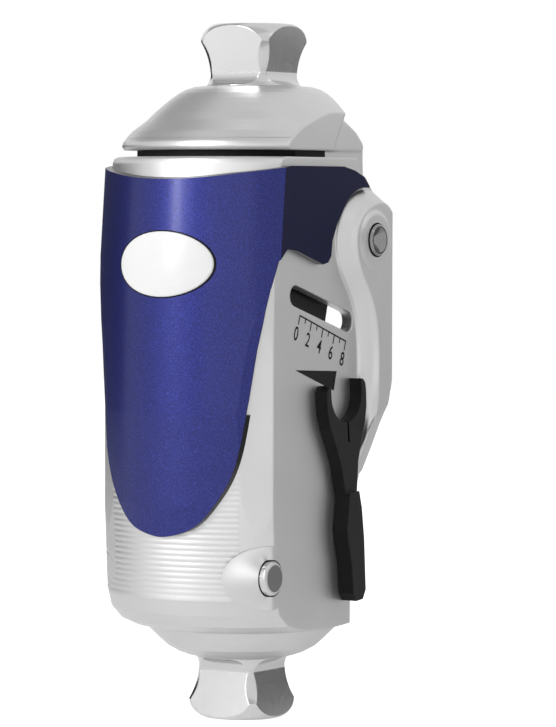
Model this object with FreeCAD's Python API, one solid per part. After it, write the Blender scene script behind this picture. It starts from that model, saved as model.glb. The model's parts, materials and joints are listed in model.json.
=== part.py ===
import FreeCAD, Part
import math
import os
from FreeCAD import Vector

# Prosthetic knee joint, single axis, with a small hydraulic unit inside its frame.
# Millimetres. The origin is the centre of the lower pyramid's end face.
# +Z is up, -Y is the front of the leg, +X is the side that carries the printed scale.

# Overall heights
frame_top_z = 144.5
frame_floor_z = 27.5
frame_bottom_z = 23.9
bell_bottom_z = 15.9   # also the height of each pyramid above its end face
head_rim_z = 146.2
head_top_z = 163.0

# Frame casing: a barrel cut by two side planes and two facets
barrel = ((35.1, 34.0), (36.0, 57.0), (36.2, 80.0), (35.6, 112.0), (33.7, 142.9))
side_half_width = 25.8
facet_distance = 35.75
facet_angle = 40.0
wall = 3.2
heel_radius = 24.8
top_round = 1.6
deck_thickness = 4.0
deck_rear_y = -9.0

# Rear edge of the side walls, seen from the side
rear_low_y = 11.5
rear_wide_y = 24.4
rear_low_z = 52.0
rear_wide_z = 87.0
rear_shoulder_z = 131.0
rear_top_y = 15.6
rear_top_z = 141.0

# Knee axis and its pivots
knee_y = 15.8
knee_z = 123.4
pivot_radius = 4.1
pivot_collar_radius = 5.4
boss_top_x = 31.0
boss_flat_radius = 6.6
boss_base_radius = 13.0
boss_gap = 0.5
pivot_proud = 0.9
bush_wall = 1.6
running_gap = 0.05
washer_thickness = 0.8
side_gap = 0.3
flex_max = 135.0

# Lower pin of the hydraulic unit
pin_y = -25.4
pin_z = 39.0
pin_radius = 4.3
pin_proud = 0.7
pin_boss_radius = 8.0
unit_tilt = 18.5

# Hydraulic unit, lengths along its own axis from the lower pin
eye_outer_radius = 6.8
eye_half_width = 9.0
eye_clearance = 0.4
unit_foot_end = 12.0
unit_flange_inset = 1.0
unit_foot_front = 5.2
tube_end = 60.0
tube_radius = 12.0
tube_bore = 9.0
valve_start = 55.0
valve_end = 62.0
valve_radius = 17.5
flex_ring_start = 62.3
ring_height = 3.6
ext_ring_start = 66.6
ring_outer = 19.0
ring_bore = 12.3
vane_radius = 21.6
vane_height = 6.4
vane_sweep = 44.0
cap_start = 70.6
cap_end = 76.0
cap_radius = 15.0
hub_radius = 12.2
rod_radius = 4.0
piston_start = 17.0
piston_length = 8.0
rod_pivot_along = 89.2
rod_eye_radius = 6.0
rod_eye_half_width = 7.6
clevis_pin_radius = 3.0
clevis_pin_half = 8.6

# Slots in the side walls
slot_length = 31.0
slot_width = 5.4
slot_y = -2.7
slot_z = 106.0
slot_tilt = 15.8

# Head
head_y = 5.0
head_half_width = 25.6
head_narrow_half = side_half_width - wall - side_gap
leg_gap_half = 9.0
hub_outer_radius = 9.5
head_wide_foot_y = 2.6
head_wide_top_y = 13.6
head_rim_radius = 34.3
head_top_radius = 12.3
head_rear_radius = 28.6
dome_profile = ((0.97, 0), (1.0, 0.06), (0.98, 0.13), (0.87, 0.29), (0.70, 0.46), (0.60, 0.59), (0.49, 0.715),
                (0.41, 0.80), (0.325, 0.88), (0.24, 0.94), (0.146, 0.98), (0, 1))
head_rear_y = 24.3
fork_roof_z = 149.0
rod_boss_radius = 6.4

# Stop pad on top of the frame
pad_radius = 27.0
pad_half_width = 24.2
pad_rear_y = 1.2

# Pyramids
pyramid_height = bell_bottom_z
pyramid_end_radius = 10.4
pyramid_wide_radius = 13.8
pyramid_wide_z = 4.6
pyramid_neck_radius = 11.3
pyramid_neck_z = 12.4
pyramid_base_radius = 12.2
pyramid_flat_wide = 10.4
pyramid_flat_narrow = 8.5
pyramid_flat_fillet = 3.6
pyramid_recess_radius = 8.6
pyramid_recess_depth = 1.2
pyramid_screw_radius = 4.0
screw_head_radius = 6.5
screw_head_height = 5.0
pyramid_screw_length = 24.0
spigot_radius = 9.0
spigot_length = 4.0

# Front shield and its badge
shield_gap = 0.12
shield_thickness = 1.8   # outer face above the casing
badge_gap = 0.1
badge_half_width = 14.0
badge_half_height = 8.2
badge_z = 117.5
badge_proud = 0.7

# Adjusting key, flat against the +X side in front of the rib
key_thickness = 3.4
key_handle_thickness = 4.4
key_gap = 0.1
key_jaw_radius = 7.3
key_prong = 2.2
key_handle_half = 2.7
key_bulge_half = 4.4
key_jaw_y = 3.9
key_jaw_z = 84.2
key_length = 56.5
key_tilt = 5.5

EPS = 0.01


def rotated_x(shape, y, z, degrees):
    """Turn a shape about a line along X through (y, z); positive turns +Z towards +Y."""
    turned = shape.copy()
    turned.rotate(Vector(0, y, z), Vector(-1, 0, 0), degrees)
    return turned


def box(x0, x1, y0, y1, z0, z1):
    return Part.makeBox(x1 - x0, y1 - y0, z1 - z0, Vector(x0, y0, z0))


def cylinder_x(radius, x0, x1, y, z):
    return Part.makeCylinder(radius, x1 - x0, Vector(x0, y, z), Vector(1, 0, 0))


def prism_x(points, x0, x1):
    """Extrude an outline given as (y, z) points from x0 to x1."""
    corners = [Vector(x0, y, z) for y, z in points]
    face = Part.Face(Part.makePolygon(corners + [corners[0]]))
    return face.extrude(Vector(x1 - x0, 0, 0))


def revolve_z(edges, y=0.0):
    """Revolve edges drawn in the XZ plane about the vertical line x=0, y=y."""
    wire = Part.Wire(edges)
    solid = Part.Face(wire).revolve(Vector(0, 0, 0), Vector(0, 0, 1), 360)
    solid.translate(Vector(0, y, 0))
    return solid


def line(a, b):
    return Part.LineSegment(Vector(a[0], 0, a[1]), Vector(b[0], 0, b[1])).toShape()


def arc(a, mid, b):
    return Part.Arc(Vector(a[0], 0, a[1]), Vector(mid[0], 0, mid[1]), Vector(b[0], 0, b[1])).toShape()


def turned(stations, y=0.0):
    """Solid of revolution through the (radius, z) stations, closed on the Z axis."""
    outline = [(0, stations[0][1])] + list(stations) + [(0, stations[-1][1])]
    edges = [line(a, b) for a, b in zip(outline, outline[1:])]
    edges.append(line(outline[-1], outline[0]))
    return revolve_z(edges, y)


def mirrored(shape):
    return shape.mirror(Vector(0, 0, 0), Vector(1, 0, 0))


def on_unit(shape):
    """Place a shape built along +Z from the origin onto the unit's tilted axis."""
    placed = shape.copy()
    placed.rotate(Vector(0, 0, 0), Vector(-1, 0, 0), unit_tilt)
    placed.translate(Vector(0, pin_y, pin_z))
    return placed


def unit_point(along):
    tilt = math.radians(unit_tilt)
    return pin_y + along * math.sin(tilt), pin_z + along * math.cos(tilt)


def facet_block(distance, z0, z1, sign):
    """The half space outside one front facet, as a block to cut away."""
    block = box(-80, 80, -160, -distance, z0, z1)
    block.rotate(Vector(0, 0, 0), Vector(0, 0, 1), sign * facet_angle)
    return block


def casing_form(inset, z_low, z_high, rounded):
    """Barrel with side planes and facets, moved inwards by inset (outwards if negative)."""
    stations = [(radius - inset, z) for radius, z in barrel if z > z_low]
    if rounded:
        foot = barrel[0][0] - inset - heel_radius
        rise = barrel[0][1] - z_low
        heel = [(heel_radius + share * foot, z_low + height * rise)
                for share, height in ((0, 0), (0.33, 0.07), (0.64, 0.22), (0.88, 0.51))]
        rim = stations[-1][0]
        stations = heel + stations[:-1] + [(rim, z_high - top_round), (rim - 0.3 * top_round, z_high - 0.3 * top_round),
                                           (rim - top_round, z_high)]
    else:
        stations = [(stations[0][0], z_low)] + stations + [(stations[-1][0], max(z_high, barrel[-1][1] + 0.1))]
    form = turned(stations)
    half = side_half_width - inset
    form = form.common(box(-half, half, -80, 80, z_low - 1, z_high))
    for sign in (1, -1):
        form = form.cut(facet_block(facet_distance - inset, z_low - 1, z_high + 1, sign))
    return form


def rear_outline():
    """Side view of what the rear edge leaves standing, from far in front."""
    return [(-80, 10), (rear_low_y, 10), (rear_low_y, rear_low_z), (rear_low_y + 2.6, rear_low_z + 6.5),
            (rear_wide_y - 1.2, rear_wide_z - 4.5), (rear_wide_y, rear_wide_z), (rear_wide_y, rear_shoulder_z),
            (rear_wide_y - 1.2, rear_shoulder_z + 3.4), (rear_top_y + 3.2, rear_top_z - 1.9),
            (rear_top_y, rear_top_z), (rear_top_y - 2.5, frame_top_z + 2), (-80, frame_top_z + 2)]


def closed_curve(points, x):
    curve = Part.BSplineCurve()
    curve.interpolate(Points=[Vector(x, y, z) for y, z in points], PeriodicFlag=True)
    return Part.Wire(curve.toShape())


def rib_section(shrink, x):
    """One level of the ear's raised rib, as a smooth closed curve."""
    front = [(knee_y - 12.6 + shrink, knee_z + 1.0), (knee_y - 10.0 + shrink, knee_z - 8.5),
             (knee_y - 5.0 + shrink, knee_z - 15.5), (knee_y - 2.2 + shrink, knee_z - 24.0),
             (knee_y - 1.8 + shrink, knee_z - 38.0), (knee_y - 3.0 + 0.7 * shrink, 73.0 + shrink),
             (rear_low_y + 1.6 + 0.3 * shrink, 61.0 + 3.6 * shrink)]
    back = [(rear_low_y + 6.0, 62.5 + 3.6 * shrink), (rear_wide_y + 1.5, rear_wide_z - 2.0),
            (rear_wide_y + 3.0, 105.0), (rear_wide_y + 2.6, knee_z + 2.0),
            (knee_y + 6.0, knee_z + 12.4 - 0.8 * shrink), (knee_y - 1.0, knee_z + 13.0 - shrink),
            (knee_y - 8.6 + 0.8 * shrink, knee_z + 9.2 - 0.6 * shrink)]
    return closed_curve(front + back, x)


def ear_relief():
    """Boss round the knee axis with the rib that runs down the rear edge, +X side."""
    rib = Part.makeLoft([rib_section(0.0, side_half_width - 1.0), rib_section(0.6, side_half_width + 0.7),
                         rib_section(3.0, side_half_width + 3.2), rib_section(4.2, boss_top_x - 0.6)],
                        True, True)
    base = side_half_width
    boss = turned([(boss_base_radius, base - 1), (boss_base_radius, base - 0.2), (boss_base_radius - 1.6, base + 0.6),
                   (boss_base_radius - 3.4, base + 2.0), (boss_flat_radius + 1.6, boss_top_x - 1.0),
                   (boss_flat_radius + 0.7, boss_top_x - 0.3), (boss_flat_radius, boss_top_x)])
    boss.rotate(Vector(0, 0, 0), Vector(0, 1, 0), 90)
    boss.translate(Vector(0, knee_y, knee_z))
    return rib.fuse(boss).common(prism_x(rear_outline(), 0, 60))


def slot_cutter(x0, x1):
    """A round-ended slot through one side wall, tilted down towards the rear."""
    half = slot_length / 2 - slot_width / 2
    bar = box(x0, x1, slot_y - half, slot_y + half, slot_z - slot_width / 2, slot_z + slot_width / 2)
    ends = [cylinder_x(slot_width / 2, x0, x1, slot_y + s * half, slot_z) for s in (-1, 1)]
    return rotated_x(bar.fuse(ends).removeSplitter(), slot_y, slot_z, slot_tilt)


def bell():
    """Bowl under the casing that runs into the neck of the lower pyramid."""
    run = heel_radius - pyramid_base_radius
    drop = frame_bottom_z - bell_bottom_z
    steps = ((0, 0), (0.18, 0.06), (0.34, 0.15), (0.56, 0.34), (0.71, 0.55), (1.0, 1.0))
    stations = [(pyramid_base_radius + share * run, bell_bottom_z + height * drop) for share, height in steps]
    return turned(stations + [(heel_radius, frame_bottom_z + 0.6)])


def build_frame_body():
    outer = casing_form(0, frame_bottom_z, frame_top_z, True)
    inner_half = side_half_width - wall
    cavity = casing_form(wall, frame_floor_z, frame_top_z - deck_thickness, False)
    cavity = cavity.fuse(box(-inner_half, inner_half, deck_rear_y, rear_wide_y + 40, frame_floor_z,
                             frame_top_z + 40))
    body = outer.fuse(bell())
    body = body.common(prism_x(rear_outline(), -60, 60))
    relief = ear_relief()
    body = body.fuse([relief, mirrored(relief)])
    body = body.cut(cavity)
    for x0, x1 in ((eye_half_width + side_gap, inner_half + 1), (-inner_half - 1, -eye_half_width - side_gap)):
        boss = cylinder_x(pin_boss_radius, x0, x1, pin_y, pin_z)
        foot = box(x0, x1, pin_y - pin_boss_radius, pin_y + pin_boss_radius, frame_floor_z - 1, pin_z)
        body = body.fuse(boss.fuse(foot).common(casing_form(0.5 * wall, frame_bottom_z, frame_top_z, True)))
    eye_room = eye_half_width + side_gap
    body = body.cut(cylinder_x(eye_outer_radius + eye_clearance, -eye_room, eye_room, pin_y, pin_z))
    tube_room = unit_foot_end - unit_flange_inset - eye_clearance
    body = body.cut(on_unit(Part.makeCylinder(tube_radius + eye_clearance, 30, Vector(0, 0, tube_room))))
    body = body.cut([slot_cutter(15, 40), slot_cutter(-40, -15)])
    body = body.cut(cylinder_x(pivot_radius, -60, 60, knee_y, knee_z))
    body = body.cut(cylinder_x(pin_radius, -60, 60, pin_y, pin_z))
    socket = Part.makeCylinder(spigot_radius, spigot_length, Vector(0, 0, bell_bottom_z))
    bolt_hole = Part.makeCylinder(pyramid_screw_radius, 30, Vector(0, 0, bell_bottom_z))
    return body.cut([socket, bolt_hole])


def build_pyramid():
    """Male pyramid with its end face at z=0 and its neck at the top."""
    end = (pyramid_end_radius, 0)
    belly = (pyramid_wide_radius, pyramid_wide_z)
    neck = (pyramid_neck_radius, pyramid_neck_z)
    base = (pyramid_base_radius, pyramid_height)
    waist = (0.5 * (belly[0] + neck[0]) - 0.35, 0.5 * (belly[1] + neck[1]) - 0.6)
    body = revolve_z([line((0, 0), end), arc(end, (belly[0] - 1.0, 1.9), belly), arc(belly, waist, neck),
                      arc(neck, (neck[0] + 0.1, 0.5 * (neck[1] + base[1]) + 0.4), base),
                      line(base, (0, pyramid_height)), line((0, pyramid_height), (0, 0))])
    body = body.cut(turned([(pyramid_recess_radius + 0.6, 0), (pyramid_recess_radius, pyramid_recess_depth)]))
    spigot = Part.makeCylinder(spigot_radius, spigot_length + 0.5, Vector(0, 0, pyramid_height - 0.5))
    body = body.fuse(spigot)
    slope = (pyramid_flat_wide - pyramid_flat_narrow) / (pyramid_neck_z - pyramid_wide_z)
    outer = pyramid_flat_wide + slope * (pyramid_wide_z + 1)
    fillet = pyramid_flat_fillet
    foot = (pyramid_flat_narrow, pyramid_neck_z)
    blend = Part.Arc(Vector(0, foot[0], foot[1]),
                     Vector(0, foot[0] + 0.25 * fillet, foot[1] + 0.62 * fillet),
                     Vector(0, foot[0] + fillet, foot[1] + 0.92 * fillet)).toShape()
    corners = [Vector(0, foot[0] + fillet, foot[1] + 0.92 * fillet), Vector(0, 40, foot[1] + 0.92 * fillet),
               Vector(0, 40, -1), Vector(0, outer, -1), Vector(0, foot[0], foot[1])]
    sides = [Part.LineSegment(a, b).toShape() for a, b in zip(corners, corners[1:])]
    cutter = Part.Face(Part.Wire([blend] + sides)).extrude(Vector(80, 0, 0))
    cutter.translate(Vector(-40, 0, 0))
    for quarter in range(4):
        side = cutter.copy()
        side.rotate(Vector(0, 0, 0), Vector(0, 0, 1), 90 * quarter)
        body = body.cut(side)
    hole = Part.makeCylinder(pyramid_screw_radius, 40, Vector(0, 0, -1))
    counterbore = Part.makeCylinder(screw_head_radius, 1.0 + screw_head_height, Vector(0, 0, 0))
    return body.cut([hole, counterbore]).removeSplitter()


def build_pyramid_screw(length):
    """Socket head screw up the middle of a pyramid, head towards the end face."""
    head = Part.makeCylinder(screw_head_radius - 0.1, screw_head_height, Vector(0, 0, 1.0))
    shank = Part.makeCylinder(pyramid_screw_radius, length, Vector(0, 0, 1.0))
    socket = Part.Face(Part.makePolygon([Vector(3 * math.cos(math.radians(60 * i)),
                                                3 * math.sin(math.radians(60 * i)), 0)
                                         for i in range(7)])).extrude(Vector(0, 0, 4.0))
    return head.fuse(shank).cut(socket).removeSplitter()


def dome(rim_radius):
    """Turned dome that rises from its rim to the upper pyramid's neck."""
    run = rim_radius - head_top_radius
    rise = head_top_z - head_rim_z
    return turned([(head_top_radius + share * run, head_rim_z + height * rise)
                   for share, height in dome_profile], head_y)


def build_head():
    leg_half = head_narrow_half - washer_thickness
    line_out = [(-80, head_rim_z - 1), (head_wide_foot_y, head_rim_z - 1), (head_wide_top_y, head_top_z + 1),
                (-80, head_top_z + 1)]
    front = dome(head_rim_radius)
    front = front.common(prism_x(line_out, -head_half_width, head_half_width))
    rear = dome(head_rear_radius)
    rear = rear.common(box(-head_narrow_half, head_narrow_half, -80, 80, head_rim_z, head_top_z))
    top_y = head_y + head_top_radius
    back = [(-80, 100), (head_rear_y - 0.4, 100), (head_rear_y, head_rim_z), (head_rear_y - 0.4, head_rim_z + 2.4),
            (head_rear_y - 2.6, head_rim_z + 8.0), (top_y + 1.4, head_top_z - 2.0), (top_y + 0.4, head_top_z + 1),
            (-80, head_top_z + 1)]
    rear = rear.common(prism_x(back, -80, 80))
    pivot_y, pivot_z = unit_point(rod_pivot_along)
    leg_outline = [(pivot_y - rod_boss_radius, head_rim_z + 1), (pivot_y - rod_boss_radius, pivot_z),
                   (pivot_y - 2.0, pivot_z - rod_boss_radius + 0.2), (knee_y - 1.0, knee_z - hub_outer_radius),
                   (knee_y + 6.5, knee_z - 0.73 * hub_outer_radius), (knee_y + hub_outer_radius, knee_z - 0.5),
                   (head_rear_y - 0.4, head_rim_z - 3), (head_rear_y - 0.4, head_rim_z + 1)]
    legs = prism_x(leg_outline, -leg_half, leg_half)
    legs = legs.fuse([cylinder_x(hub_outer_radius, -leg_half, leg_half, knee_y, knee_z),
                      cylinder_x(rod_boss_radius, -leg_half, leg_half, pivot_y, pivot_z)])
    reach = pivot_y - rod_boss_radius - 6
    rod_slot = prism_x([(reach, 100), (reach, fork_roof_z - 5), (reach + 4, fork_roof_z), (90, fork_roof_z),
                        (90, 100)], -leg_gap_half, leg_gap_half)
    head = front.fuse([rear, legs]).cut(rod_slot)
    bush_outer = pivot_radius + running_gap + bush_wall
    head = head.cut(cylinder_x(bush_outer, -60, 60, knee_y, knee_z))
    socket = Part.makeCylinder(spigot_radius, spigot_length, Vector(0, head_y, head_top_z - spigot_length))
    screw_reach = pyramid_screw_length + 1.0 - pyramid_height
    bolt_hole = Part.makeCylinder(pyramid_screw_radius, screw_reach + 1, Vector(0, head_y, head_top_z - screw_reach))
    return head.cut([socket, bolt_hole]).removeSplitter()


def build_stop_pad():
    """Rubber pad on the frame's deck, with an arm on top of each side wall."""
    disc = Part.makeCylinder(pad_radius, head_rim_z - frame_top_z, Vector(0, 0, frame_top_z))
    low, high = frame_top_z, head_rim_z
    front = disc.common(box(-pad_half_width, pad_half_width, -80, deck_rear_y - 0.5, low, high))
    inner = side_half_width - wall + 0.1
    arm = box(inner, pad_half_width, deck_rear_y - 4, pad_rear_y, low, high)
    return front.fuse([arm, mirrored(arm)]).removeSplitter()


def build_pivot():
    """One knee pivot pin, pressed into an ear, with a centre hole in its outer end, +X side."""
    inner_x = leg_gap_half + 0.4
    outer_x = boss_top_x + pivot_proud
    pin = cylinder_x(pivot_radius, inner_x, outer_x - 0.5, knee_y, knee_z)
    nose = Part.makeCone(pivot_radius, pivot_radius - 0.5, 0.5, Vector(outer_x - 0.5, knee_y, knee_z),
                         Vector(1, 0, 0))
    hole = Part.makeCone(0.9, pivot_radius - 0.9, 2.6, Vector(outer_x - 2.6, knee_y, knee_z), Vector(1, 0, 0))
    return pin.fuse(nose).cut(hole).removeSplitter()


def ring_x(outer, inner, x0, x1, y, z):
    return cylinder_x(outer, x0, x1, y, z).cut(cylinder_x(inner, x0, x1, y, z))


def both_sides(shape):
    return Part.makeCompound([shape, mirrored(shape)])


def shield_face_outline():
    """Lower edge of the shield on the front, half of it, as (x, z) points."""
    return [(0, 49.0), (4.0, 49.6), (9.2, 51.6), (14.0, 56.6), (17.2, 61.8), (18.9, 66.0),
            (20.2, 71.5), (21.4, 80.0)]


def build_shield():
    """Thin shell that follows the casing, cut to its outline on the front and on the sides."""
    outer = casing_form(-shield_thickness, frame_bottom_z, frame_top_z, False)
    inner = casing_form(-shield_gap, frame_bottom_z - 2, frame_top_z + 2, False)
    shell = outer.cut(inner)
    side_view = [(-90, 137.4), (-38, 138.2), (-30, 140.4), (-20, 142.2), (5.1, 142.2), (10.5, 141.2),
                 (15.0, 139.6), (17.6, 137.2), (16.4, 135.0), (12.9, 134.3), (9.2, 134.4),
                 (5.0, 131.4), (2.0, 127.8), (-0.4, 123.4), (-1.0, 119.4), (-2.4, 117.8), (-4.8, 117.3),
                 (-16.8, 120.8), (-21.5, 121.3), (-25.0, 118.4), (-26.9, 111.2), (-27.8, 106.2),
                 (-29.2, 96.3), (-30.5, 83.9), (-31.7, 74.0), (-32.2, 70.3), (-90, 70.3)]
    upper = prism_x(side_view, -60, 60)
    half = shield_face_outline()
    full = [(-x, z) for x, z in reversed(half[1:])] + half
    curve = Part.BSplineCurve()
    curve.interpolate([Vector(x, -90, z) for x, z in full])
    top_z = half[-1][1]
    edges = [curve.toShape(),
             Part.LineSegment(Vector(half[-1][0], -90, top_z), Vector(-half[-1][0], -90, top_z)).toShape()]
    tongue = Part.Face(Part.Wire(edges)).extrude(Vector(0, 80, 0))
    shell = shell.common(upper.fuse(tongue))
    shell = shell.cut(cylinder_x(boss_base_radius + boss_gap, -60, 60, knee_y, knee_z))
    return shell.removeSplitter()


def build_badge():
    """Bare oval plate that follows the shield's front."""
    below = casing_form(-shield_thickness - badge_gap, frame_bottom_z, frame_top_z, False)
    outer = casing_form(-shield_thickness - badge_proud, frame_bottom_z, frame_top_z, False)
    oval = Part.Ellipse(Vector(0, 0, 0), badge_half_width, badge_half_height).toShape()
    plate = Part.Face(Part.Wire(oval)).extrude(Vector(0, 0, 80))
    plate.rotate(Vector(0, 0, 0), Vector(1, 0, 0), 90)
    plate.translate(Vector(0, 0, badge_z))
    return plate.common(outer).cut(below)


def key_outline(points):
    """Place key outline points, given across and up from the jaw's centre, as (y, z) points."""
    tilt = math.radians(key_tilt)
    return [(key_jaw_y + across * math.cos(tilt) - up * math.sin(tilt),
             key_jaw_z + across * math.sin(tilt) + up * math.cos(tilt)) for across, up in points]


def build_key():
    """Adjusting key: a fork with a round jaw and a thicker handle with a bulge, flat in the YZ plane."""
    x0 = side_half_width + key_gap
    x1 = x0 + key_thickness
    outer = key_jaw_radius + key_prong
    low = 3.0 - key_length
    half = [(outer - 1.2, 2.8), (outer - 0.2, 1.6), (outer, -0.5), (outer - 0.2, -4.5), (outer - 1.2, -8.0),
            (outer - 3.4, -13.0), (key_handle_half + 1.4, -18.0), (key_handle_half, -26.0),
            (key_handle_half, -33.0)]
    outline = [(key_jaw_radius - 0.1, 3.0)] + half + [(-a, u) for a, u in reversed(half)]
    outline += [(0.1 - key_jaw_radius, 3.0)]
    fork = prism_x(key_outline(outline), x0, x1)
    right = [(key_handle_half - 0.4, -25.5), (key_handle_half + 0.5, -30.0), (key_handle_half + 0.9, -38.0),
             (key_handle_half + 0.5, low + 2.2), (1.6, low)]
    left = [(key_handle_half - 0.4, -25.5), (key_bulge_half, -34.5), (key_bulge_half - 0.3, -38.0),
            (key_handle_half + 0.3, -43.5), (key_handle_half + 0.2, low + 2.2), (1.6, low)]
    handle = prism_x(key_outline(right + [(-a, u) for a, u in reversed(left)]), x0, x0 + key_handle_thickness)
    jaw = cylinder_x(key_jaw_radius, x0 - 1, x1 + 1, key_jaw_y, key_jaw_z)
    mouth = prism_x(key_outline([(-key_jaw_radius, 0), (key_jaw_radius, 0), (key_jaw_radius, 20),
                                 (-key_jaw_radius, 20)]), x0 - 1, x1 + 1)
    slit = prism_x(key_outline([(-0.4, 0), (0.4, 0), (0.4, -12.5), (-0.4, -12.5)]), x0 - 1, x1 + 1)
    return fork.fuse(handle).cut([jaw, mouth, slit]).removeSplitter()


def tube_z(outer, inner, z0, z1):
    solid = Part.makeCylinder(outer, z1 - z0, Vector(0, 0, z0))
    return solid.cut(Part.makeCylinder(inner, z1 - z0, Vector(0, 0, z0)))


def build_vaned_ring(start, vane_centre, side):
    """Setting ring of the hydraulic unit with a pointer vane that lies behind its slot."""
    ring = tube_z(ring_outer, ring_bore, start, start + ring_height)
    z0 = vane_centre - vane_height / 2
    foot = min(start, z0)
    vane = tube_z(vane_radius, ring_outer - 0.6, foot, z0 + vane_height)
    sector_points = [Vector(0, 0, foot - 1)]
    for step in range(5):
        angle = math.radians(-vane_sweep * step / 4)
        sector_points.append(Vector(40 * math.cos(angle), 40 * math.sin(angle), foot - 1))
    sector = Part.Face(Part.makePolygon(sector_points + [sector_points[0]])).extrude(Vector(0, 0, 60))
    vane = vane.common(sector)
    keep_out = tube_z(ring_outer + 0.3, 1.0, start + ring_height + 0.1, start + 40)
    keep_under = tube_z(ring_outer + 0.3, 1.0, 0.5, start - 0.1)
    vane = vane.cut([keep_out, keep_under])
    whole = ring.fuse(vane).removeSplitter()
    if side < 0:
        whole = whole.mirror(Vector(0, 0, 0), Vector(1, 0, 0))
    return on_unit(whole)


def build_unit_parts():
    slot_along = (slot_z - pin_z) * math.cos(math.radians(unit_tilt)) + \
                 (slot_y - pin_y) * math.sin(math.radians(unit_tilt))
    parts = {}
    eye = cylinder_x(eye_outer_radius, -eye_half_width, eye_half_width, 0, 0)
    foot = box(-eye_half_width, eye_half_width, -unit_foot_front, eye_outer_radius, 0, unit_foot_end)
    bush_outer = pin_radius + running_gap + 1.2
    base = eye.fuse(foot).cut(cylinder_x(bush_outer, -20, 20, 0, 0))
    flange = Part.makeCylinder(tube_radius, 3.0, Vector(0, 0, unit_foot_end - unit_flange_inset))
    parts["unit_base_eye"] = on_unit(base.fuse(flange).removeSplitter())
    bush = ring_x(bush_outer, pin_radius + running_gap, -eye_half_width, eye_half_width, 0, 0)
    parts["unit_base_bush"] = on_unit(bush)
    tube_start = unit_foot_end + 2.0
    parts["unit_cylinder"] = on_unit(tube_z(tube_radius, tube_bore, tube_start, tube_end))
    valve = tube_z(valve_radius, tube_radius, valve_start, valve_end)
    spindle = tube_z(hub_radius, rod_radius + running_gap + 1.0, valve_end, cap_start)
    parts["valve_block"] = on_unit(valve.fuse(tube_z(hub_radius, tube_bore - 4.0, tube_end, valve_end))
                                   .fuse(spindle).removeSplitter())
    cap = tube_z(cap_radius, rod_radius + running_gap + 1.8, cap_start, cap_end)
    parts["unit_cap"] = on_unit(cap.makeChamfer(0.8, [e for e in cap.Edges if e.BoundBox.ZMin > cap_end - EPS
                                                      and e.BoundBox.XLength > 2 * cap_radius - 1]))
    parts["rod_seal"] = on_unit(tube_z(rod_radius + running_gap + 1.8, rod_radius + running_gap,
                                       cap_start + 1.0, cap_end))
    parts["extension_ring"] = build_vaned_ring(ext_ring_start, slot_along, 1)
    parts["flexion_ring"] = build_vaned_ring(flex_ring_start, slot_along, -1)
    piston = Part.makeCylinder(tube_bore - running_gap - 0.8, piston_length, Vector(0, 0, piston_start))
    piston = piston.cut(tube_z(tube_bore, tube_bore - 2.0, piston_start + 3, piston_start + 5))
    piston = piston.cut(Part.makeCylinder(rod_radius, piston_length, Vector(0, 0, piston_start)))
    parts["piston"] = on_unit(piston)
    parts["piston_seal"] = on_unit(tube_z(tube_bore - running_gap, tube_bore - 2.0, piston_start + 3,
                                          piston_start + 5))
    rod_end = rod_pivot_along - rod_eye_radius + 1.0
    parts["piston_rod"] = on_unit(Part.makeCylinder(rod_radius, rod_end - piston_start,
                                                    Vector(0, 0, piston_start)))
    rod_eye = cylinder_x(rod_eye_radius, -rod_eye_half_width, rod_eye_half_width, 0, rod_pivot_along)
    neck = Part.makeCylinder(5.6, 5.0, Vector(0, 0, rod_pivot_along - rod_eye_radius - 1.2))
    rod_eye = rod_eye.fuse(neck).cut(cylinder_x(clevis_pin_radius + 1.0, -20, 20, 0, rod_pivot_along))
    rod_eye = rod_eye.cut(Part.makeCylinder(rod_radius, 40, Vector(0, 0, rod_end - 40)))
    parts["rod_eye"] = on_unit(rod_eye.removeSplitter())
    parts["rod_eye_bush"] = on_unit(ring_x(clevis_pin_radius + 1.0, clevis_pin_radius, -rod_eye_half_width,
                                           rod_eye_half_width, 0, rod_pivot_along))
    parts["clevis_pin"] = on_unit(cylinder_x(clevis_pin_radius, -clevis_pin_half, clevis_pin_half, 0,
                                             rod_pivot_along))
    return parts


def build_lower_pin():
    """Pin that stands proud of the +X side and is flush with the casing on the other."""
    proud = cylinder_x(pin_radius, 0, side_half_width + pin_proud, pin_y, pin_z)
    proud = proud.makeChamfer(0.5, [e for e in proud.Edges if e.BoundBox.XMin > side_half_width])
    flush = cylinder_x(pin_radius, -side_half_width - 5, 0, pin_y, pin_z)
    flush = flush.common(casing_form(0, frame_bottom_z, frame_top_z, True))
    return proud.fuse(flush)


def upper(shape):
    """Turn a pyramid part built for the lower end so that it stands on the head."""
    raised = shape.copy()
    raised.rotate(Vector(0, 0, 0), Vector(1, 0, 0), 180)
    raised.translate(Vector(0, head_y, head_top_z + pyramid_height))
    return raised


def build_all():
    parts = {}
    parts["frame_body"] = build_frame_body()
    pyramid = build_pyramid()
    screw = build_pyramid_screw(pyramid_screw_length)
    parts["distal_pyramid"] = pyramid
    parts["distal_pyramid_screw"] = screw
    parts["proximal_pyramid"] = upper(pyramid)
    parts["proximal_pyramid_screw"] = upper(screw)
    parts["head_body"] = build_head()
    parts["extension_stop_pad"] = build_stop_pad()
    parts["knee_pivots"] = both_sides(build_pivot())
    bush_x1 = head_narrow_half - washer_thickness
    bush = ring_x(pivot_radius + running_gap + bush_wall, pivot_radius + running_gap, leg_gap_half, bush_x1,
                  knee_y, knee_z)
    parts["knee_bushes"] = both_sides(bush)
    washer = ring_x(hub_outer_radius - 0.1, pivot_radius + running_gap, bush_x1, head_narrow_half, knee_y, knee_z)
    parts["thrust_washers"] = both_sides(washer)
    parts["front_shield"] = build_shield()
    parts["badge_plate"] = build_badge()
    parts["lower_pin"] = build_lower_pin()
    parts["adjusting_key"] = build_key()
    parts.update(build_unit_parts())
    return parts


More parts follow.
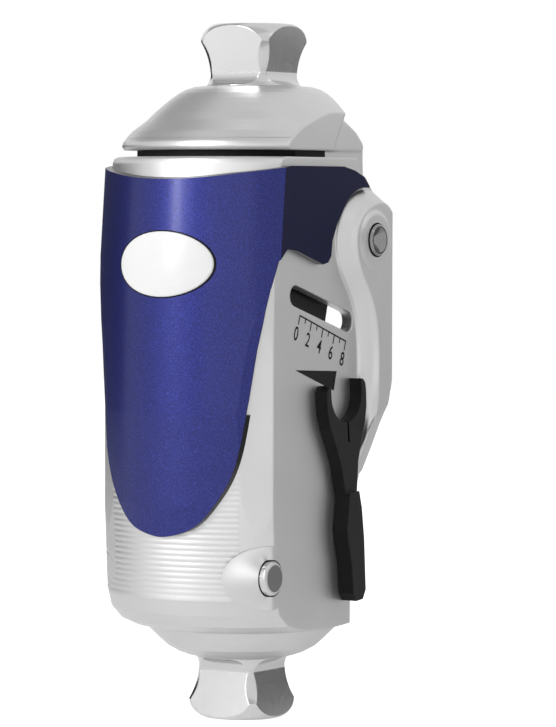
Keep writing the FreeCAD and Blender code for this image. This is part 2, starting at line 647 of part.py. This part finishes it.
def main():
    os.makedirs("parts", exist_ok=True)
    for name, shape in build_all().items():
        shape.exportStep("parts/" + name + ".step")
        box_ = shape.BoundBox
        print(name, len(shape.Solids), "solids", round(shape.Volume), "mm3", shape.isValid(),
              [round(v, 1) for v in (box_.XMin, box_.XMax, box_.YMin, box_.YMax, box_.ZMin, box_.ZMax)])


main()
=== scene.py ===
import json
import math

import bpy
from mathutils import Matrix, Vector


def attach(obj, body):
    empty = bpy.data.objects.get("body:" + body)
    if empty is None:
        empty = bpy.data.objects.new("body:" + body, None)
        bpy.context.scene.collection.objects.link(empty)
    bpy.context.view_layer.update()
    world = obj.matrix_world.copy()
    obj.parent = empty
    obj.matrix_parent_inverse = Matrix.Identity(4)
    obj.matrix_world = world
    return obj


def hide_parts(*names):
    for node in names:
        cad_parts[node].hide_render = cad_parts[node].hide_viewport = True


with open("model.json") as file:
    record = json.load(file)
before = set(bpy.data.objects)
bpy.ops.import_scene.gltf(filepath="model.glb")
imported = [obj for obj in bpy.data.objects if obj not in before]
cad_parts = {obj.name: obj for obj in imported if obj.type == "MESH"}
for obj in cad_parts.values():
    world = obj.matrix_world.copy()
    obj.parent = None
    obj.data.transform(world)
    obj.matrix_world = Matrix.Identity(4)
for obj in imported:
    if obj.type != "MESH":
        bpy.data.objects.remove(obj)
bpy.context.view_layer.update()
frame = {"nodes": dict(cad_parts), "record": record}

# %% [markdown]
# # A prosthetic knee joint
# The joint stands on its lower pyramid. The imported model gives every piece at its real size, in metres,
# with +Z up, -Y the front of the leg and +X the side that carries the printed scale.
# This script gives each surface its real finish, adds the fine forms that a casting and its print have,
# and sets a plain studio with the camera where the photograph has it.

MM = 0.001

# %% [markdown]
# ## Colours and nodes
# Colours are given as sRGB hex values, as a picture program shows them, and Blender wants linear light.
# One function turns the first into the second, and one small function adds a shader node, sets what it is
# given and links what it is given, so each material below reads as a list of what it is made of.


# %% Colour and node helpers
def colour(hex_code):
    """sRGB hex, such as "#40478A", to linear red, green, blue and alpha."""
    channels = []
    for i in (1, 3, 5):
        c = int(hex_code[i:i + 2], 16) / 255
        channels.append(c / 12.92 if c <= 0.04045 else ((c + 0.055) / 1.055) ** 2.4)
    return (*channels, 1.0)


def add_node(tree, kind, inputs=None, **settings):
    """Adds a node; a value in inputs that is a socket is linked, and any other is set."""
    node = tree.nodes.new(kind)
    for key, value in settings.items():
        setattr(node, key, value)
    for key, value in (inputs or {}).items():
        if isinstance(value, bpy.types.NodeSocket):
            tree.links.new(value, node.inputs[key])
        else:
            node.inputs[key].default_value = value
    return node


def new_material(name):
    """An empty material with its output, and the tree to build in."""
    material = bpy.data.materials.new(name)
    material.use_nodes = True
    tree = material.node_tree
    tree.nodes.clear()
    return material, tree


def finish_material(tree, shader):
    """Connects a shader node's first output to the surface."""
    add_node(tree, "ShaderNodeOutputMaterial", {"Surface": shader.outputs[0]})


def per_mm(size_mm):
    """Texture scale, in cells per metre, for a feature of that size."""
    return 1 / (size_mm * MM)


# %% [markdown]
# ## The camera
# The photograph looks a little down on the joint's front right corner from about a metre away.
# The direction comes from how wide the front and side flats of the lower pyramid look beside each other,
# and the scale from the pyramids' known size. The aim is a little right of the joint, as it is framed there.

# %% Camera
PHOTO_WIDTH, PHOTO_HEIGHT = 556, 727
AZIMUTH = math.radians(33.3)
DISTANCE = 1.0
EYE_HEIGHT = 133.6 * MM
PIXELS_PER_MM = 3.87
AXIS_X, EYE_Y = 242.5, 200.0
ROLL = math.radians(0.17)
focal_pixels = PIXELS_PER_MM / MM * DISTANCE

backward = Vector((math.sin(AZIMUTH), -math.cos(AZIMUTH), 0))
rightward = Vector((math.cos(AZIMUTH), math.sin(AZIMUTH), 0))
eye = backward * DISTANCE + Vector((0, 0, EYE_HEIGHT))
aim = (-backward + rightward * ((PHOTO_WIDTH / 2 - AXIS_X) / focal_pixels)
       + Vector((0, 0, (EYE_Y - PHOTO_HEIGHT / 2) / focal_pixels)))

camera_data = bpy.data.cameras.new("camera")
camera = bpy.data.objects.new("camera", camera_data)
bpy.context.collection.objects.link(camera)
bpy.context.scene.camera = camera
camera.location = eye
camera.rotation_euler = (aim.to_track_quat("-Z", "Y").to_matrix() @ Matrix.Rotation(ROLL, 3, "Z")).to_euler()
camera_data.sensor_width = 36.0
camera_data.lens = camera_data.sensor_width * focal_pixels / PHOTO_HEIGHT
print("camera lens", round(camera_data.lens, 1), "mm at", [round(v, 3) for v in eye])

# %% [markdown]
# ## The studio
# A white sweep and large soft lamps give the even light of a product picture. Bare metal shows what
# stands round it, so the world is white to the camera and to reflections. Cards that only reflections
# see shape the metal: a banded one behind the joint on the right, for its side faces, dark and grey ones on
# its left and right, a light one overhead and one on the ground.


# %% Studio
MIDDLE = Vector((0, 0, 90 * MM))


def direction(azimuth, elevation):
    """Unit vector from the joint; azimuth 0 is its front and grows towards the scale side."""
    a, e = math.radians(azimuth), math.radians(elevation)
    return Vector((math.sin(a) * math.cos(e), -math.cos(a) * math.cos(e), math.sin(e)))


def soft_lamp(name, azimuth, elevation, distance, width, height, power):
    """An oblong area lamp that faces the middle of the joint."""
    data = bpy.data.lights.new(name, "AREA")
    data.shape = "RECTANGLE"
    data.size = width
    data.size_y = height
    data.energy = power
    lamp = bpy.data.objects.new(name, data)
    bpy.context.collection.objects.link(lamp)
    lamp.location = MIDDLE + direction(azimuth, elevation) * distance
    lamp.rotation_euler = (MIDDLE - lamp.location).to_track_quat("-Z", "Y").to_euler()


# Azimuth and elevation in degrees, distance, width and height in metres, power in watts
soft_lamp("lamp_front_left", -18, 31, 1.2, 0.36, 0.9, 6.6)
soft_lamp("lamp_strip", -22, 13, 1.2, 0.12, 0.26, 1.8)
soft_lamp("lamp_front", 22, 10, 1.5, 1.1, 1.2, 2.2)
soft_lamp("lamp_right", 95, 35, 1.4, 0.7, 0.7, 0.8)


def seen_or_mirrored(tree):
    """1 for camera, glossy and transmission rays, 0 for the light that falls on surfaces."""
    path = add_node(tree, "ShaderNodeLightPath")
    first = add_node(tree, "ShaderNodeMath", {0: path.outputs["Is Camera Ray"],
                                              1: path.outputs["Is Glossy Ray"]}, operation="MAXIMUM")
    both = add_node(tree, "ShaderNodeMath", {0: first.outputs[0],
                                             1: path.outputs["Is Transmission Ray"]}, operation="MAXIMUM")
    return both.outputs[0]


WORLD_LIGHT = 0.4
world = bpy.data.worlds.new("studio")
bpy.context.scene.world = world
world.use_nodes = True
world.node_tree.nodes.clear()
level = add_node(world.node_tree, "ShaderNodeMapRange",
                 {"Value": seen_or_mirrored(world.node_tree), "To Min": WORLD_LIGHT, "To Max": 1.0})
sky = add_node(world.node_tree, "ShaderNodeBackground", {"Color": colour("#FFFFFF"),
                                                         "Strength": level.outputs["Result"]})
add_node(world.node_tree, "ShaderNodeOutputWorld", {"Surface": sky.outputs[0]})


def stage_plane(name, corners, material):
    """A four-cornered sheet that belongs to the studio and not to the joint."""
    mesh = bpy.data.meshes.new(name)
    mesh.from_pydata(corners, [], [(0, 1, 2, 3)])
    plane = bpy.data.objects.new(name, mesh)
    bpy.context.collection.objects.link(plane)
    plane.data.materials.append(material)
    return plane


def card(name, azimuth, elevation, distance, width, height, shades):
    """A card for reflections only; shades are (share of its height, glow) from its foot to its top."""
    material, tree = new_material(name)
    upright = add_node(tree, "ShaderNodeSeparateXYZ",
                       {0: add_node(tree, "ShaderNodeTexCoord").outputs["Generated"]})
    ramp = add_node(tree, "ShaderNodeValToRGB", {"Fac": upright.outputs["Z"]})
    while len(ramp.color_ramp.elements) < len(shades):
        ramp.color_ramp.elements.new(1.0)
    for element, (share, glow_level) in zip(ramp.color_ramp.elements, shades):
        element.position = share
        element.color = (glow_level, glow_level, glow_level, 1)
    finish_material(tree, add_node(tree, "ShaderNodeEmission", {"Color": ramp.outputs["Color"]}))
    centre = MIDDLE + direction(azimuth, elevation) * distance
    turn = (MIDDLE - centre).to_track_quat("Z", "Y").to_matrix()
    across, up = turn.col[0] * width / 2, turn.col[1] * height / 2
    corners = [centre + across * i + up * j for i, j in ((-1, -1), (1, -1), (1, 1), (-1, 1))]
    plane = stage_plane(name, corners, material)
    plane.visible_camera = False
    plane.visible_diffuse = False
    plane.visible_shadow = False
    return plane


BEHIND_RIGHT = 149
card("dark_card", BEHIND_RIGHT, 0, 0.7, 0.42, 0.62,
     ((0.0, 0.9), (0.3, 0.9), (0.33, 0.03), (0.40, 0.08), (0.43, 0.95), (0.485, 0.95), (0.50, 0.01),
      (0.565, 0.01), (0.58, 0.95), (1.0, 0.95)))
card("left_card", -108, 3, 0.7, 1.1, 0.25, ((0.0, 0.05), (1.0, 0.05)))
card("upper_left_card", -105, 45, 0.8, 0.6, 0.5, ((0.0, 0.45), (1.0, 0.5)))
card("right_card", 100, 4, 0.8, 0.5, 0.5, ((0.0, 0.25), (1.0, 0.3)))
card("grey_card", -10, 72, 0.9, 1.1, 0.7, ((0.0, 0.8), (1.0, 0.8)))
ground_card = card("ground_card", BEHIND_RIGHT, -10, 0.4, 0.5, 0.5, ((0.0, 0.7), (1.0, 0.7)))
ahead, across = direction(BEHIND_RIGHT, 0), direction(BEHIND_RIGHT - 90, 0)
ABOVE_FLOOR = Vector((0, 0, 2 * MM))
GROUND_CORNERS = ((0.08, -0.25), (0.08, 0.25), (0.8, 0.3), (0.8, -0.3))
for vertex, (run, side) in zip(ground_card.data.vertices, GROUND_CORNERS):
    vertex.co = ahead * run + across * side + ABOVE_FLOOR

PAPER_GLOW_MIRRORED, PAPER_GLOW_SEEN = 0.4, 0.85
floor_paper, tree = new_material("white_paper_sweep")
paper = add_node(tree, "ShaderNodeBsdfDiffuse", {"Color": colour("#F4F4F4")})
camera_ray = add_node(tree, "ShaderNodeLightPath").outputs["Is Camera Ray"]
strength = add_node(tree, "ShaderNodeMapRange", {"Value": camera_ray, "To Min": PAPER_GLOW_MIRRORED,
                                                 "To Max": PAPER_GLOW_SEEN})
glow = add_node(tree, "ShaderNodeEmission", {"Color": colour("#FFFFFF"),
                                             "Strength": strength.outputs["Result"]})
lit = add_node(tree, "ShaderNodeAddShader", {0: paper.outputs[0], 1: glow.outputs[0]})
shown = add_node(tree, "ShaderNodeMixShader", {"Fac": seen_or_mirrored(tree), 1: paper.outputs[0],
                                               2: lit.outputs[0]})
finish_material(tree, shown)
HALF_FLOOR = 1.5
stage_plane("floor", [(-HALF_FLOOR, -HALF_FLOOR, 0), (HALF_FLOOR, -HALF_FLOOR, 0),
                      (HALF_FLOOR, HALF_FLOOR, 0), (-HALF_FLOOR, HALF_FLOOR, 0)], floor_paper)

bpy.context.scene.view_settings.view_transform = "Standard"

# %% [markdown]
# ## Bare metals
# The frame and the head are aluminium, machined and then blasted lightly, which leaves a satin face with
# fine upright marks on the flat sides. The pyramids and pins are ground and polished steel.


# %% Metal finishes
CLOUD_MM, CLOUD_SHADE = 22, 0.88


def metal(name, base, roughness, mark_mm, mark_run_mm, mark_depth, spread=0.06, edge_mm=0.25):
    """A machined metal: marks of a width run the length given along Z, as gloss and fine relief."""
    material, tree = new_material(name)
    place = add_node(tree, "ShaderNodeTexCoord").outputs["Object"]
    mark_scale = (per_mm(mark_mm), per_mm(mark_mm), per_mm(mark_run_mm))
    marks_place = add_node(tree, "ShaderNodeMapping", {"Vector": place, "Scale": mark_scale})
    marks = add_node(tree, "ShaderNodeTexNoise", {"Vector": marks_place.outputs[0], "Scale": 1.0,
                                                  "Detail": 4.0, "Roughness": 0.6})
    cloud = add_node(tree, "ShaderNodeTexNoise", {"Vector": place, "Scale": per_mm(CLOUD_MM), "Detail": 2.0})
    gloss = add_node(tree, "ShaderNodeMapRange", {"Value": marks.outputs["Fac"], "From Min": 0.3,
                                                  "From Max": 0.7, "To Min": roughness - spread,
                                                  "To Max": roughness + spread})
    light = colour(base)
    dark = [c * CLOUD_SHADE for c in light[:3]] + [1.0]
    both = add_node(tree, "ShaderNodeMix", {"Factor": cloud.outputs["Fac"], "A": dark, "B": light},
                    data_type="RGBA")
    edge = add_node(tree, "ShaderNodeBevel", {"Radius": edge_mm * MM}, samples=6)
    relief = add_node(tree, "ShaderNodeBump", {"Height": marks.outputs["Fac"], "Strength": 0.35,
                                               "Distance": mark_depth * MM, "Normal": edge.outputs[0]})
    shader = add_node(tree, "ShaderNodeBsdfPrincipled",
                      {"Base Color": both.outputs["Result"], "Metallic": 1.0,
                       "Roughness": gloss.outputs["Result"], "Normal": relief.outputs[0]})
    finish_material(tree, shader)
    return material


# Name, colour, roughness, marks' width, run and depth in mm, and where given the spread of gloss
frame_metal = metal("satin_machined_aluminium", "#CDCDCD", 0.42, 0.25, 14.0, 0.02, edge_mm=0.8)
head_metal = metal("turned_aluminium", "#CDCDCD", 0.34, 0.6, 0.25, 0.015, edge_mm=0.9)
polished_steel = metal("polished_stainless_steel", "#CCCCCC", 0.16, 0.2, 9.0, 0.008, 0.04, edge_mm=0.35)
unit_metal = metal("anodised_aluminium", "#9DA1A6", 0.4, 0.2, 0.2, 0.01)
bronze = metal("sintered_bronze", "#A98154", 0.45, 0.2, 0.2, 0.02)
pivot_steel = metal("countersunk_steel", "#8C8C8C", 0.14, 0.2, 0.2, 0.01, 0.03, edge_mm=0.1)
pin_end_metal = metal("brushed_steel_end", "#808080", 0.4, 0.15, 3.0, 0.01, edge_mm=0.1)
chrome = metal("hard_chromed_steel", "#D9DADC", 0.08, 0.1, 0.1, 0.003, 0.02)

# %% [markdown]
# ## Plastics and rubber
# The shield is injection-moulded plastic with metal flakes in it and a grained mould face. Its cut edges
# and side faces carry a near-black painted shade. The key is black
# glass-filled nylon, and the stop pad rubber.


# %% Plastic finishes
def plastic(name, base, light, roughness, grain_mm, grain_depth, metallic=0.0, coat=0.0, edge=None):
    """A moulded plastic: a grained face whose small flecks catch light. With an edge colour, cut edges take
    it as painted shade, and faces that look to the side are mixed with it as painted shade and lose their
    gloss."""
    material, tree = new_material(name)
    place = add_node(tree, "ShaderNodeTexCoord").outputs["Object"]
    grain = add_node(tree, "ShaderNodeTexNoise", {"Vector": place, "Scale": per_mm(grain_mm),
                                                  "Detail": 2.0, "Roughness": 0.6})
    fleck = add_node(tree, "ShaderNodeMapRange", {"Value": grain.outputs["Fac"], "From Min": 0.45,
                                                  "From Max": 0.75})
    both = add_node(tree, "ShaderNodeMix", {"Factor": fleck.outputs["Result"], "A": colour(base),
                                            "B": colour(light)}, data_type="RGBA")
    surface, shine = both.outputs["Result"], metallic
    # Painted shade: faces turned off the front, the cut edges, take the near-black edge colour and lose
    # their metallic shine
    if edge:
        flat = add_node(tree, "ShaderNodeVectorMath", {0: place, 1: (1, 1, 0)}, operation="MULTIPLY")
        outward = add_node(tree, "ShaderNodeVectorMath", {0: flat.outputs[0]}, operation="NORMALIZE")
        facing = add_node(tree, "ShaderNodeVectorMath",
                          {0: outward.outputs[0],
                           1: add_node(tree, "ShaderNodeNewGeometry").outputs["True Normal"]},
                          operation="DOT_PRODUCT")
        face = add_node(tree, "ShaderNodeMapRange", {"Value": facing.outputs["Value"], "From Min": 0.63,
                                                     "From Max": 0.70})
        painted_edge_shade = add_node(tree, "ShaderNodeMix", {"Factor": face.outputs["Result"], "A": colour(edge),
                                               "B": surface}, data_type="RGBA")
        scaled = add_node(tree, "ShaderNodeMath", {0: face.outputs["Result"], 1: metallic},
                          operation="MULTIPLY")
        surface, shine = painted_edge_shade.outputs["Result"], scaled.outputs[0]
        # Painted shade: faces that look to the side are mixed further with the edge colour, and their coat
        # is taken off
        normal = add_node(tree, "ShaderNodeSeparateXYZ",
                          {0: add_node(tree, "ShaderNodeNewGeometry").outputs["True Normal"]})
        aside = add_node(tree, "ShaderNodeMath", {0: normal.outputs["X"]}, operation="ABSOLUTE")
        painted_side_shade = add_node(tree, "ShaderNodeMapRange", {"Value": aside.outputs[0], "From Min": 0.95,
                                                    "From Max": 0.99, "To Max": 0.75})
        side = add_node(tree, "ShaderNodeMix", {"Factor": painted_side_shade.outputs["Result"], "A": surface,
                                                "B": colour(edge)}, data_type="RGBA")
        surface = side.outputs["Result"]
        gloss = add_node(tree, "ShaderNodeMath", {0: coat, 1: painted_side_shade.outputs["Result"]}, operation="SUBTRACT")
        gloss.use_clamp = True
        coat = gloss.outputs[0]
    soft = add_node(tree, "ShaderNodeBevel", {"Radius": 0.3 * MM}, samples=6)
    relief = add_node(tree, "ShaderNodeBump", {"Height": grain.outputs["Fac"], "Strength": 0.5,
                                               "Distance": grain_depth * MM, "Normal": soft.outputs[0]})
    shader = add_node(tree, "ShaderNodeBsdfPrincipled",
                      {"Base Color": surface, "Metallic": shine, "Roughness": roughness,
                       "Coat Weight": coat, "Coat Roughness": 0.22,
                       "Specular IOR Level": 0.2, "Normal": relief.outputs[0]})
    finish_material(tree, shader)
    return material


# The edge colour paints a near-black shade on the shield's cut edges and side faces
shield_plastic = plastic("moulded_metallic_blue_plastic_painted_edge_shade", "#10165A", "#2C3690", 0.42, 0.26, 0.03, 0.85, 0.6,
                         edge="#07070A")
key_plastic = plastic("moulded_black_nylon", "#040405", "#08080A", 0.42, 0.35, 0.02)
rubber = plastic("black_rubber", "#060606", "#0E0E0E", 0.65, 0.4, 0.02)
badge_enamel = plastic("white_enamelled_plate", "#E9E9E9", "#EFEFEF", 0.4, 0.3, 0.001, coat=0.4)
black_anodised = plastic("black_anodised_aluminium", "#070708", "#101012", 0.4, 0.2, 0.01)
print_ink = plastic("black_printing_ink", "#060606", "#0A0A0A", 0.5, 0.3, 0.002)
gap_shade = plastic("dark_joint_line", "#030303", "#060606", 0.8, 0.3, 0.002)

# %% [markdown]
# ## Forms that lie on the casting
# The ridges below the shield, the turned grooves on the dome and the domed badge are thin real shapes laid
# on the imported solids. Each is a grid of rows, whose points become quads. Their lengths are in mm.


# %% Grid shapes
BARREL = ((35.1, 20.0), (35.1, 34.0), (36.0, 57.0), (36.2, 80.0), (35.6, 112.0), (33.7, 142.9))
DOME = ((34.2, 147.2), (33.9, 148.4), (31.4, 151.1), (27.6, 153.9), (25.4, 156.1), (23.0, 158.2))
HEAD_Y = 5.0
SIDE_X = 25.8
SHIELD_PROUD = 1.8


def radius_at(profile, z):
    """Radius of a turned profile at a height, straight between its stations."""
    for (r0, z0), (r1, z1) in zip(profile, profile[1:]):
        if z <= z1:
            return r0 + (r1 - r0) * (z - z0) / (z1 - z0)
    return profile[-1][0]


def laid_on(name, points, faces, material, body="frame", smooth=False):
    """A mesh given in millimetres that rides on a body."""
    mesh = bpy.data.meshes.new(name)
    mesh.from_pydata([Vector(p) * MM for p in points], [], faces)
    mesh.materials.append(material)
    for polygon in mesh.polygons:
        polygon.use_smooth = smooth
    shape = bpy.data.objects.new(name, mesh)
    bpy.context.collection.objects.link(shape)
    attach(shape, body)
    return shape


def grid(name, rows, material, body="frame", smooth=False):
    """A sheet of quads through rows of points, each row as long as the first."""
    width = len(rows[0])
    faces = [(r * width + c, r * width + c + 1, (r + 1) * width + c + 1, (r + 1) * width + c)
             for r in range(len(rows) - 1) for c in range(width - 1)]
    return laid_on(name, [p for row in rows for p in row], faces, material, body, smooth)


def turned_rows(profile, heights, half_angle, centre_y, columns=64):
    """Rows round the Z axis at y=centre_y: heights are (z, proud), half_angle a function of z in degrees."""
    rows = []
    for z, proud in heights:
        limit = math.radians(half_angle(z))
        radius = radius_at(profile, z) + proud
        angles = [limit * (2 * c / (columns - 1) - 1) for c in range(columns)]
        rows.append([(radius * math.sin(a), centre_y - radius * math.cos(a), z) for a in angles])
    return rows


# %% Ridges below the shield
RIDGE_PITCH, RIDGE_DEPTH = 1.4, 0.11
RIDGES_LOW_Z, RIDGES_TOP_Z = 33.0, 70.0
RIDGE_HALF_ANGLE, RIDGE_EXTRA_ANGLE = 32.0, 11.0
RIDGES_WIDEN_Z, RIDGES_WIDEN_RUN = 38, 3
LIFT = 0.02
FADE_START, FADE_RUN = 0.35, 14


def ridge_limit(z):
    """The ridges end at the front facet, and run on to the side below it."""
    below = max(0.0, RIDGES_WIDEN_Z - z)
    return RIDGE_HALF_ANGLE + RIDGE_EXTRA_ANGLE * min(1.0, below / RIDGES_WIDEN_RUN)


def ridge_heights(low, top, pitch, depth):
    """A rounded ridge for each pitch: its foot, flank, crest and far flank."""
    heights = []
    for k in range(int((top - low) / pitch)):
        z = low + k * pitch
        fade = min(1.0, FADE_START + (z - low) / FADE_RUN)
        heights += [(z, LIFT), (z + 0.22 * pitch, LIFT + 0.8 * depth * fade),
                    (z + 0.5 * pitch, LIFT + depth * fade), (z + 0.8 * pitch, LIFT + 0.7 * depth * fade)]
    return heights


casting_heights = ridge_heights(RIDGES_LOW_Z, RIDGES_TOP_Z, RIDGE_PITCH, RIDGE_DEPTH)
grid("casting_ridges", turned_rows(BARREL, casting_heights, ridge_limit, 0.0), frame_metal)

# %% Turned grooves on the dome
GROOVE_PITCH, GROOVE_DEPTH = 0.8, 0.12
GROOVES_LOW_Z, GROOVES_TOP_Z = 149.3, 156.2
GROOVES_HALF_WIDTH = 25.3


def side_limit(z):
    """Degrees from the front at which the dome meets the head's side plane."""
    return math.degrees(math.asin(min(1.0, GROOVES_HALF_WIDTH / radius_at(DOME, z))))


dome_heights = ridge_heights(GROOVES_LOW_Z, GROOVES_TOP_Z, GROOVE_PITCH, GROOVE_DEPTH)
grid("dome_grooves", turned_rows(DOME, dome_heights, side_limit, HEAD_Y), head_metal, body="head")

# %% Badge plate and the line round it
BADGE_HALF_WIDTH, BADGE_HALF_HEIGHT, BADGE_Z = 14.0, 8.2, 117.5
BADGE_RIM, BADGE_DOME = 0.36, 0.55
LINE_LIFT, LINE_REACH = 0.06, 1.04
CROWN_SHARES = (0.95, 0.9, 0.8, 0.65, 0.5, 0.35, 0.2, 0.08, 0.001)


def on_shield(x, z, proud):
    """A point on the front of the shield, proud of its face by the given amount."""
    radius = radius_at(BARREL, z) + SHIELD_PROUD + proud
    return (x, -math.sqrt(radius * radius - x * x), z)


TURNS = [2 * math.pi * k / 72 for k in range(73)]


def ellipse_ring(share, proud):
    """The badge's outline at a share of its size, proud of the shield's face."""
    return [on_shield(share * BADGE_HALF_WIDTH * math.cos(t),
                      BADGE_Z + share * BADGE_HALF_HEIGHT * math.sin(t), proud) for t in TURNS]


badge_rows = [ellipse_ring(1.0, 0.05), ellipse_ring(1.0, 0.25), ellipse_ring(0.985, BADGE_RIM)]
badge_rows += [ellipse_ring(share, BADGE_RIM + BADGE_DOME * (1 - share * share)) for share in CROWN_SHARES]
badge = grid("badge", badge_rows, badge_enamel, smooth=True)
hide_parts("badge_plate")
grid("badge_line", [ellipse_ring(1.0, LINE_LIFT), ellipse_ring(LINE_REACH, LINE_LIFT)], gap_shade)

# %% [markdown]
# ## Print on the side
# A plain scale with its numbers and a wedge, printed in black on the flat side.


# %% Print
PRINT_X = SIDE_X + 0.03
SCALE_START, SCALE_END = (-12.9, 104.7), (9.0, 97.6)
along = Vector((SCALE_END[0] - SCALE_START[0], SCALE_END[1] - SCALE_START[1])).normalized()
down = Vector((along[1], -along[0]))
scale_length = math.dist(SCALE_START, SCALE_END)


def on_scale(run, drop):
    """A point of the side plane: run along the scale's line, drop below it."""
    return (SCALE_START[0] + along[0] * run + down[0] * drop,
            SCALE_START[1] + along[1] * run + down[1] * drop)


def printed(name, outline):
    """A closed outline of (y, z) points, filled with ink on the side plane."""
    points = [(PRINT_X, y, z) for y, z in outline]
    return laid_on(name, points, [tuple(range(len(points)))], print_ink)


LINE_WIDTH, LONG_TICK, SHORT_TICK = 0.4, 2.6, 1.5
LINE_END, HALF_TICK = 0.17, 0.2
SCALE_STEPS = 8
printed("scale_line", [on_scale(-LINE_END, 0), on_scale(scale_length + LINE_END, 0),
                       on_scale(scale_length + LINE_END, LINE_WIDTH), on_scale(-LINE_END, LINE_WIDTH)])
for tick in range(SCALE_STEPS + 1):
    run = scale_length * tick / SCALE_STEPS
    drop = SHORT_TICK if tick % 2 else LONG_TICK
    printed("scale_tick_%d" % tick, [on_scale(run - HALF_TICK, 0), on_scale(run + HALF_TICK, 0),
                                     on_scale(run + HALF_TICK, drop), on_scale(run - HALF_TICK, drop)])
WEDGE = ((-15.2, 90.8), (4.6, 89.9), (3.2, 84.9))
printed("wedge", WEDGE)

DIGIT_HEIGHT, DIGIT_DROP, DIGIT_SHIFT = 3.7, 5.2, -0.3
HEIGHT_SHARE, NARROWING = 0.73, 0.8
for digit in range(0, SCALE_STEPS + 1, 2):
    run = scale_length * digit / SCALE_STEPS
    text = bpy.data.curves.new("digit_%d" % digit, "FONT")
    text.body = str(digit)
    text.size = DIGIT_HEIGHT / HEIGHT_SHARE * MM
    text.align_x = "CENTER"
    text.align_y = "CENTER"
    text.extrude = 0.005 * MM
    text.offset = 0.06 * MM
    number = bpy.data.objects.new("scale_number_%d" % digit, text)
    bpy.context.collection.objects.link(number)
    y, z = on_scale(run + DIGIT_SHIFT, DIGIT_DROP)
    number.matrix_world = Matrix((
        (0, 0, 1, PRINT_X * MM), (NARROWING * along[0], -down[0], 0, y * MM),
        (NARROWING * along[1], -down[1], 0, z * MM), (0, 0, 0, 1)))
    text.materials.append(print_ink)
    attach(number, "frame")

# %% Joint lines and the lower pin's seat
PIN_Y, PIN_Z, PIN_RADIUS = -25.4, 39.0, 4.3
KNEE_Y, KNEE_Z, PIVOT_RADIUS, BOSS_X = 15.8, 123.4, 4.1, 31.0
FACET_ANGLE, FACET_DISTANCE = math.radians(40), 35.75
SEAT_X, SEAT_REACH, SEAT_ROWS, SEAT_CURVE = 24.5, 3.6, 12, 1.6
JOINT_LINE = 0.35


def ring(centre_y, centre_z, x, radius):
    """A closed circle in a plane of constant X."""
    return [(x, centre_y + radius * math.cos(t), centre_z + radius * math.sin(t)) for t in TURNS]


def casting_x(y):
    """How far out the casting's side or its front facet lies at a depth."""
    return min(SIDE_X, (FACET_DISTANCE + math.cos(FACET_ANGLE) * y) / math.sin(FACET_ANGLE))


def seat_row(share):
    """A loop round the pin; share 0 lies at its rim and share 1 on the casting."""
    radius = PIN_RADIUS + 0.1 + SEAT_REACH * share
    lift = (1 - share) ** SEAT_CURVE
    return [(casting_x(y) + LIFT + max(0, SEAT_X - casting_x(y)) * lift, y, z)
            for _, y, z in ring(PIN_Y, PIN_Z, SIDE_X, radius)]


def pin_line_row(radius):
    """A loop just above the seat's rim."""
    return [(max(casting_x(y), SEAT_X) + LINE_LIFT, y, z) for _, y, z in ring(PIN_Y, PIN_Z, SIDE_X, radius)]


PIN_END = ((24.2, 4.35), (25.9, 4.35), (26.3, 4.05), (26.52, 3.4))
PIN_FACE_X, PIN_FACE_RADII = 26.53, (3.4, 0.01)
grid("pin_seat", [seat_row(k / SEAT_ROWS) for k in range(SEAT_ROWS + 1)], frame_metal, smooth=True)
grid("pin_line", [pin_line_row(r) for r in (PIN_RADIUS, PIN_RADIUS + JOINT_LINE)], gap_shade)
grid("pin_rim", [ring(PIN_Y, PIN_Z, x, r) for x, r in PIN_END], polished_steel)
grid("pin_face", [ring(PIN_Y, PIN_Z, PIN_FACE_X, r) for r in PIN_FACE_RADII], pin_end_metal)
pivot_rows = [ring(KNEE_Y, KNEE_Z, BOSS_X + 0.03, r) for r in (PIVOT_RADIUS, PIVOT_RADIUS + JOINT_LINE)]
grid("pivot_line", pivot_rows, gap_shade)

# %% Dark sheet behind the slot: painted shade over the slot, whose slanting edge shows there as the pointer's
SLOT_SHADE_DEPTH = 4.2
SLOT_SHADE_OUTLINE = ((-19.0, 98.0), (4.4, 98.0), (8.4, 112.0), (-19.0, 118.0))
# A black sheet, painted shade in the slot, set inside the side plane
laid_on("slot_shade_sheet", [(SIDE_X - SLOT_SHADE_DEPTH, y, z) for y, z in SLOT_SHADE_OUTLINE], [(0, 1, 2, 3)], black_anodised)

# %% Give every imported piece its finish
finishes = {
    "cast_aluminium": frame_metal, "polished_steel": polished_steel, "blue_plastic": shield_plastic,
    "badge_plate": badge_enamel, "black_rubber": rubber, "black_plastic": key_plastic, "bronze": bronze,
    "unit_aluminium": unit_metal, "black_anodised": black_anodised, "hard_chrome": chrome}
own_finish = {"head_body": head_metal, "knee_pivots": pivot_steel, "lower_pin": frame_metal}
slots = {part["node"]: part["material_slot"] for part in frame["record"]["subparts"]}
for node_name, node in frame["nodes"].items():
    finish = own_finish.get(node_name, finishes[slots[node_name]])
    for slot in node.material_slots:
        slot.link = "OBJECT"
        slot.material = finish
print("finished", len(frame["nodes"]), "pieces")
